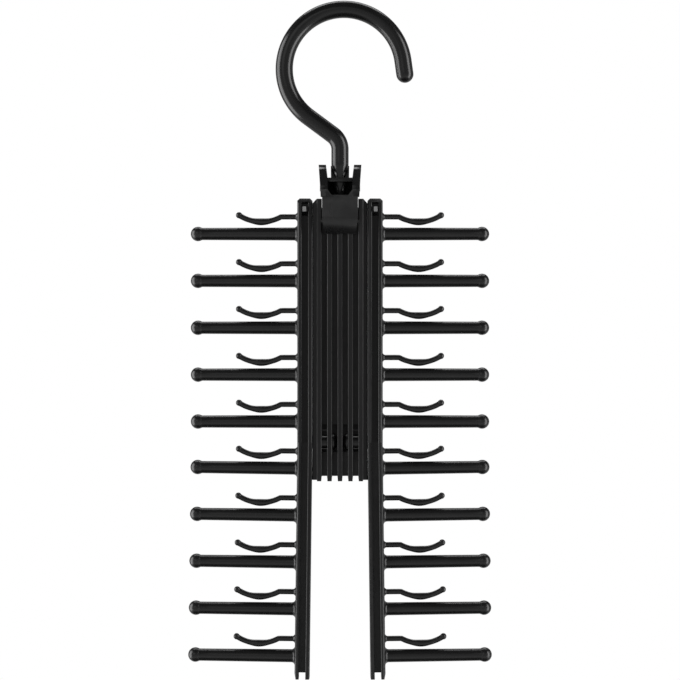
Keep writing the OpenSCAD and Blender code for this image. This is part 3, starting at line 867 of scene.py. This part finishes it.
@dataclass
class Rack:
    """One rail with its axle, arms and fingers."""

    side: Side
    edge: float = 0.2
    rail_in: float = 13.75
    rail_w: float = 7.55
    rail_up: float = 121.75
    splay: float = 0.7
    rows: int = 10
    first_arm: float = 17.6
    pitch: float = 23.44
    # The arm: its length, its thickness at the root, at the tip and at the ball, and its fillet
    arm_len: float = 53.3
    root_d: float = 6.5
    tip_d: float = 6.1
    ball_d: float = 7.25
    fillet: float = 1.7
    neck_run: float = 0.25
    neck_edge: Point = (0.05, 0.06)
    arm_pole: float = 0.06
    # The finger: its height over the arm, its straight stretch, its curve, its belly and its bead
    finger_rise: float = 8.57
    finger_d: float = 2.7
    straight: float = 8.2
    curve: float = 20.5
    dip: float = 2.5
    tip_rise: float = 0.8
    belly_d: float = 3.5
    belly_half: float = 6.0
    bead_d: float = 3.2
    bead_lap: float = 0.9
    # The flare at the finger's root: its size, its reach, and how fast it runs out and thins
    flare: float = 0.9
    flare_reach: float = 1.4
    flare_run: float = 0.8
    flare_thin: float = 2.6
    # The bend after the straight: where it starts and goes on, its first drop and its first leans
    straight_middle: float = 0.6
    bend_start: float = 1.2
    bend_next: float = 0.5
    bend_drop: float = 0.03
    bend_leans: Point = (0.2, 0.7)
    # The ridged boss in the top of a channel
    boss_half: float = 1.35
    boss_shift: float = 0.65
    boss_slope: float = 36.0
    boss_y: float = 6.6
    boss_back_y: float = 5.4
    boss_foot: float = 0.6
    boss_drop: float = 4.1
    boss_h: float = 2.5
    boss_round: float = 0.3
    boss_end: float = 0.75
    # How many points and rings the round forms have
    arm_sides: int = 40
    finger_sides: int = 28
    fillet_step: int = 9
    taper_rings: int = 8
    ball_rings: int = 14
    flare_rings: int = 6
    belly_rings: int = 26
    bead_turns: tuple[int, ...] = (-30, -14, 2, 18, 34, 50, 64, 76, 86)

    @property
    def body(self) -> Body:
        """The rack's body."""
        return Body.LEFT_RACK if self.side is Side.LEFT else Body.RIGHT_RACK

    def placed(self, rings: list[Ring], row: int, rise: float) -> list[Ring]:
        """Sets rings drawn from the rail outward on their row.

        Args:
            rings: Rings with X outward from the rail's face.
            row: The row, from 1 at the top.
            rise: Height above the row's arm.

        Returns:
            The rings in place, mirrored on the left.
        """
        out = self.rail_in + self.rail_w
        up = self.rail_up - self.first_arm - (row - 1) * self.pitch
        move = Matrix.Translation((out, 0.0, PIVOT_Z + up + rise))
        if up < 0:
            pivot = Matrix.Translation((self.rail_in, 0.0, PIVOT_Z))
            swing = Matrix.Rotation(math.radians(-self.splay), 4, "Y")
            move = pivot @ swing @ pivot.inverted() @ move
        turn = Matrix.Scale(self.side.value, 4, OUT)
        return [[turn @ (move @ point) for point in ring] for ring in rings]

    def arm_profile(self) -> list[Point]:
        """The arm's outline: the fillet at the rail, the taper, the neck and the ball.

        Returns:
            For each ring its distance from the rail and its radius.
        """
        root, neck, ball = self.root_d / 2, self.tip_d / 2, self.ball_d / 2
        rows = []
        for turn in map(math.radians, range(0, 91, self.fillet_step)):
            rows.append((self.fillet * (1 - math.cos(turn)), root + self.fillet * (1 - math.sin(turn))))
        centre = self.arm_len - ball
        meet = math.asin(neck / ball)
        start = centre - ball * math.cos(meet)
        for step in range(1, self.taper_rings):
            share = step / self.taper_rings
            rows.append((blend((self.fillet, start), share), blend((root, neck), share)))
        rows.append((start - self.neck_run, neck))
        rows.append((start + self.neck_edge[0], neck + self.neck_edge[1]))
        for step in range(1, self.ball_rings):
            turn = meet + (math.pi - meet) * step / self.ball_rings
            rows.append((centre - ball * math.cos(turn), ball * math.sin(turn)))
        rows.append((self.arm_len, self.arm_pole))
        return rows

    def arm_rings(self) -> list[Ring]:
        """The arm's rings, drawn from the rail outward.

        Returns:
            The rings.
        """
        profile = self.arm_profile()
        return [ring_at(Vector((x, 0.0, 0.0)), OUT, UP, radius, self.arm_sides) for x, radius in profile]

    def belly_point(self, turn: float) -> Point:
        """A point on the finger's curve.

        Args:
            turn: The angle from the curve's lowest point, in radians.

        Returns:
            Its distance from the rail and its height.
        """
        low_x = self.straight + math.sqrt(self.curve**2 - (self.curve - self.dip) ** 2)
        return low_x + self.curve * math.sin(turn), self.curve * (1 - math.cos(turn)) - self.dip

    def finger_path(self) -> list[tuple[float, float, float, float]]:
        """The finger's middle line: the flare, the straight, the belly and the bead.

        Returns:
            For each ring its distance from the rail, its height, its lean and its radius.
        """
        radius, bead = self.finger_d / 2, self.bead_d / 2
        start = math.asin((self.straight - self.belly_point(0.0)[0]) / self.curve)
        end = math.acos((self.curve - self.dip - self.tip_rise) / self.curve)
        rows = []
        for step in range(self.flare_rings + 1):
            share = step / self.flare_rings
            x = share**self.flare_run * self.flare_reach * self.flare
            rows.append((x, 0.0, 0.0, radius + self.flare * (1 - share) ** self.flare_thin))
        rows.append((self.straight * self.straight_middle, 0.0, 0.0, radius))
        rows.append((self.straight - self.bend_start, 0.0, 0.0, radius))
        first_lean, next_lean = (start * share for share in self.bend_leans)
        rows.append((self.straight - self.bend_next, -self.bend_drop, first_lean, radius))
        neck = end - bead * self.bead_lap / self.curve
        for step in range(self.belly_rings + 1):
            turn = start + (neck - start) * step / self.belly_rings
            reach = min(abs(turn * self.curve / self.belly_half), 1.0)
            swell = (self.belly_d - self.finger_d) / 4 * (1 + math.cos(math.pi * reach))
            rows.append((*self.belly_point(turn), turn if step else next_lean, radius + swell))
        x, z = self.belly_point(end)
        for turn in map(math.radians, self.bead_turns):
            ahead = bead * math.sin(turn)
            rows.append((x + ahead * math.cos(end), z + ahead * math.sin(end), end, bead * math.cos(turn)))
        return rows

    def finger_rings(self) -> list[Ring]:
        """The finger's rings, drawn from the rail outward.

        Returns:
            The rings.
        """
        rings = []
        for x, z, lean, radius in self.finger_path():
            along = Vector((math.cos(lean), 0.0, math.sin(lean)))
            across = Vector((-math.sin(lean), 0.0, math.cos(lean)))
            rings.append(ring_at(Vector((x, 0.0, z)), along, across, radius, self.finger_sides))
        return rings

    def boss_rings(self, back: bool) -> list[Ring]:
        """A small ridged boss that stands in the top of a channel.

        Args:
            back: True for the channel at the back.

        Returns:
            The rings, from the top down.
        """
        middle = self.rail_in + self.rail_w / 2
        top = PIVOT_Z + self.rail_up - self.boss_drop
        facing, crest = (1, self.boss_back_y) if back else (-1, self.boss_y)
        slope = math.tan(math.radians(self.boss_slope))
        whole = self.boss_round, self.boss_h - self.boss_round
        drops = (0.0, self.boss_end), (whole[0], 1.0), (whole[1], 1.0), (self.boss_h, self.boss_end)
        rings = []
        for drop, share in drops:
            half = self.boss_half * share
            ridge_x = -self.boss_shift * share
            ridge = crest - self.boss_round * (1 - share)
            outline = [
                (-half, self.boss_foot),
                (-half, ridge - slope * (half + ridge_x)),
                (ridge_x, ridge),
                (half, ridge - slope * (half - ridge_x)),
                (half, self.boss_foot),
            ]
            z = top - drop
            rings.append([Vector((self.side.value * (middle + x), facing * y, z)) for x, y in outline])
        return rings

    def piece(self, name: str, node: str = "", finish: PlasticFinish = RACK_GLOSS) -> Piece:
        """A piece that rides on this rack.

        Args:
            name: Its name without the side.
            node: The node that it stands for, without the side, if it stands for one.
            finish: Its finish.

        Returns:
            The piece.
        """
        word = self.side.word
        return Piece(f"{word}_{name}", self.body, Slot.RACK, finish, [f"{word}_{node}"] if node else [])

    def build(self) -> None:
        """Builds and dresses the rack."""
        word = self.side.word
        self.piece("rail_boss_front").show(loft(self.boss_rings(back=False)))
        self.piece("rail_boss_back").show(loft(self.boss_rings(back=True)))
        # The rail takes the dimmer copy of the rack's gloss, a painted shade
        self.piece("rail_moulding", "rail", RAIL_GLOSS_PAINTED_SHADE).show(moulded_copy(f"{word}_rail"), self.edge)
        self.piece("stub_axle", "axle").show(moulded_copy(f"{word}_axle"))
        for row in range(1, self.rows + 1):
            arm = self.placed(self.arm_rings(), row, 0.0)
            self.piece(f"tie_arm_{row:02d}", f"arm_{row:02d}").show(loft(arm))
            finger = self.placed(self.finger_rings(), row, self.finger_rise)
            self.piece(f"grip_finger_{row:02d}", f"finger_{row:02d}").show(loft(finger))


# The studio


@dataclass(frozen=True)
class Softbox:
    """A soft rectangular light, placed by its angles to the left and up and by how far off it is."""

    name: str
    left: float
    up: float
    far: float
    size: Point
    radiance: float

    def build(self, aim: Vector) -> None:
        """Hangs the light so that it faces a point.

        Args:
            aim: The point, in metres.
        """
        left, up = math.radians(self.left), math.radians(self.up)
        flat = math.cos(up)
        away = Vector((-math.sin(left) * flat, -math.cos(left) * flat, math.sin(up)))
        place = aim + away * self.far
        data = bpy.data.lights.new(self.name, "AREA")
        data.shape = "RECTANGLE"
        data.size, data.size_y = self.size
        data.energy = self.radiance * math.pi * self.size[0] * self.size[1]
        made = bpy.data.objects.new(self.name, data)
        bpy.context.scene.collection.objects.link(made)
        made.location = place
        made.rotation_euler = (aim - place).to_track_quat("-Z", "Y").to_euler()
        made.visible_camera = False


@dataclass
class Studio:
    """A pale floor, a white surround, soft lights at both sides and above, and the camera."""

    lens: float = 135.0
    sensor: float = 36.0
    # The height that the camera frames in the hanger's plane, the photograph's height in pixels,
    # and the pixel row at which the origin stands
    frame_mm: float = 340.0
    photo_px: float = 680.0
    origin_px: float = 18.15
    floor_z: float = -1.3
    floor_radius: float = 7.0
    floor_sides: int = 128
    paper: Point = (0.95, 0.98)
    paper_roughness: float = 0.9
    lit_z: float = -0.16
    softboxes: tuple[Softbox, ...] = (
        Softbox("left_softbox", 86.0, 0.0, 1.2, (0.95, 1.9), 4.2),
        Softbox("right_softbox", -69.0, 0.0, 1.2, (0.62, 1.9), 4.2),
        Softbox("top_softbox", 180.0, 64.0, 1.3, (1.3, 0.5), 3.2),
        Softbox("front_softbox", 20.0, 20.0, 2.4, (1.2, 1.2), 0.5),
    )
    # How bright the surround is in what the plastic mirrors, from straight down to straight up
    mirrored: tuple[Point, ...] = (
        (0.0, 0.05),
        (0.06, 0.08),
        (0.14, 0.66),
        (0.2, 0.62),
        (0.5, 0.34),
        (0.66, 0.3),
        (0.76, 0.08),
        (1.0, 0.08),
    )

    def camera(self) -> None:
        """Sets the camera square in front, as far off as its long lens asks."""
        data = bpy.data.cameras.new("front_camera")
        data.lens = self.lens
        data.sensor_width = self.sensor
        made = bpy.data.objects.new("front_camera", data)
        bpy.context.scene.collection.objects.link(made)
        far = self.frame_mm * MM * self.lens / self.sensor
        pixel = self.frame_mm / self.photo_px
        made.location = (0.0, -far, (self.origin_px - self.photo_px / 2) * pixel * MM)
        made.rotation_euler = (math.pi / 2, 0.0, 0.0)
        bpy.context.scene.camera = made

    def surround(self) -> None:
        """A white surround for the eye, and a dim one for what the plastic mirrors."""
        world = bpy.data.worlds.new("white_surround")
        bpy.context.scene.world = world
        bpy.context.scene.view_settings.view_transform = "Standard"
        world.use_nodes = True
        world.node_tree.nodes.clear()
        make = NodeTreeBuilder(world.node_tree)
        result = make.node("ShaderNodeOutputWorld")
        seen = make.node("ShaderNodeBackground", in_Color=grey(1.0), in_Strength=1.0)
        dim = make.node("ShaderNodeBackground", in_Strength=1.0)
        place = make.node("ShaderNodeTexCoord")
        split = make.node("ShaderNodeSeparateXYZ")
        make.link(place.outputs["Generated"], split.inputs[0])
        height = make.node("ShaderNodeMapRange", in_From_Min=-1.0, in_From_Max=1.0)
        make.link(split.outputs["Z"], height.inputs["Value"])
        sky = make.node("ShaderNodeValToRGB")
        stops = sky.color_ramp.elements
        for share, _ in self.mirrored[1:-1]:
            stops.new(share)
        for stop, (_, level) in zip(stops, self.mirrored):
            stop.color = grey(level)
        make.link(height.outputs["Result"], sky.inputs["Fac"])
        make.link(sky.outputs["Color"], dim.inputs["Color"])
        path = make.node("ShaderNodeLightPath")
        mix = make.node("ShaderNodeMixShader")
        make.link(path.outputs["Is Glossy Ray"], mix.inputs[0])
        make.link(seen.outputs[0], mix.inputs[1])
        make.link(dim.outputs[0], mix.inputs[2])
        make.link(mix.outputs[0], result.inputs["Surface"])

    def floor(self) -> None:
        """The pale floor, well below the hanging part."""
        mesh = bmesh.new()
        turns = [360 * step / self.floor_sides for step in range(self.floor_sides)]
        rim = [polar((0.0, 0.0), self.floor_radius, turn) for turn in turns]
        mesh.faces.new([mesh.verts.new((x, y, self.floor_z)) for x, y in rim])
        data = bpy.data.meshes.new("pale_floor")
        mesh.to_mesh(data)
        mesh.free()
        made = bpy.data.objects.new("pale_floor", data)
        bpy.context.scene.collection.objects.link(made)
        data.materials.append(self.paper_material())
        made.visible_glossy = False

    def paper_material(self) -> bpy.types.Material:
        """The floor's paper, which is dull and slightly uneven.

        Returns:
            The material.
        """
        made = bpy.data.materials.new("pale_paper")
        made.use_nodes = True
        shader = made.node_tree.nodes["Principled BSDF"]
        shader.inputs["Roughness"].default_value = self.paper_roughness
        make = NodeTreeBuilder(made.node_tree)
        mottle = make.node("ShaderNodeTexNoise", in_Scale=4.0, in_Detail=3.0)
        low, high = self.paper
        level = make.node("ShaderNodeMapRange", in_To_Min=low, in_To_Max=high)
        make.link(mottle.outputs["Fac"], level.inputs["Value"])
        make.link(level.outputs["Result"], shader.inputs["Base Color"])
        return made

    def build(self) -> None:
        """Builds the whole studio."""
        self.camera()
        self.surround()
        self.floor()
        for softbox in self.softboxes:
            softbox.build(Vector((0.0, 0.0, self.lit_z)))


def main() -> None:
    """Builds the studio and every piece of the hanger."""
    logging.basicConfig(level=logging.INFO, format="%(message)s")
    Studio().build()
    Hook().build()
    SwivelHead().build()
    LatchLever().build()
    RibbedSpine().build()
    for side in Side:
        Rack(side).build()


if __name__ == "__main__":
    main()
